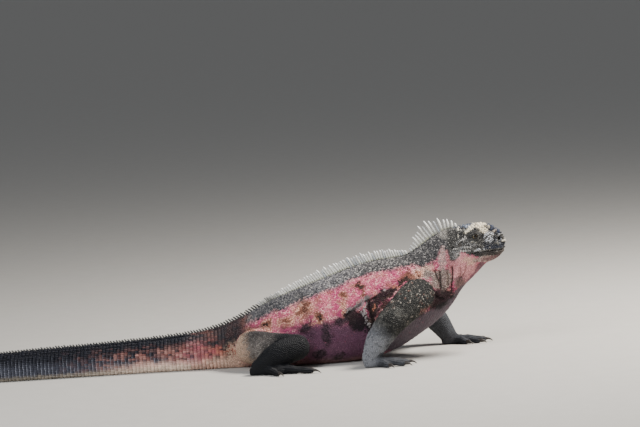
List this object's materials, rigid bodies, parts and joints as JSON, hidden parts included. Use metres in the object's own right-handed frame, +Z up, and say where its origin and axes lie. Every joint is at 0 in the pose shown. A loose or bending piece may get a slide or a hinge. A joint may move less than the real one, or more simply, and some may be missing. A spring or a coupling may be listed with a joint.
{
  "type": "marine iguana",
  "caption": "Life-size marine iguana propped up on its forelegs, belly and long tail on the ground, with a spiny crest, knobbly blunt head and clawed feet.",
  "frame": {"origin": "on the ground under the middle of the belly, on the flat the animal lies on", "axes": "+X from tail to nose, +Y to the animal's left, +Z up"},
  "size_m": [0.8289, 0.2804, 0.1614],
  "materials": {
    "skin_flank": "matt scaly skin, rose red on the flanks with rust and black blotches",
    "skin_neck": "matt scaly skin, grey above and dull pink on the throat",
    "skin_head": "matt dark grey skin with pale salt-crusted tubercles",
    "skin_tail": "matt blackish skin in rings of keeled scales, reddish at the root",
    "skin_leg": "matt olive grey-brown scaly skin",
    "skin_foot": "matt blue-black scaly skin",
    "crest": "horny cream spines",
    "claw": "smooth dark horn",
    "eye": "wet gloss, dark brown iris",
    "eardrum": "thin smooth membrane"
  },
  "bodies": {
    "root": {"tail_tip": "skin_tail", "tail_blade": "skin_tail", "tail_root": "skin_tail", "torso": "skin_flank", "neck": "skin_neck", "head": "skin_head", "upper_arm_right": "skin_leg", "forearm_right": "skin_leg", "forefoot_right": "skin_foot", "thigh_right": "skin_leg", "shank_right": "skin_leg", "hindfoot_right": "skin_foot", "eye_right": "eye", "ear_right": "eardrum", "upper_arm_left": "skin_leg", "forearm_left": "skin_leg", "forefoot_left": "skin_foot", "thigh_left": "skin_leg", "shank_left": "skin_leg", "hindfoot_left": "skin_foot", "eye_left": "eye", "ear_left": "eardrum"}
  },
  "joints": []
}
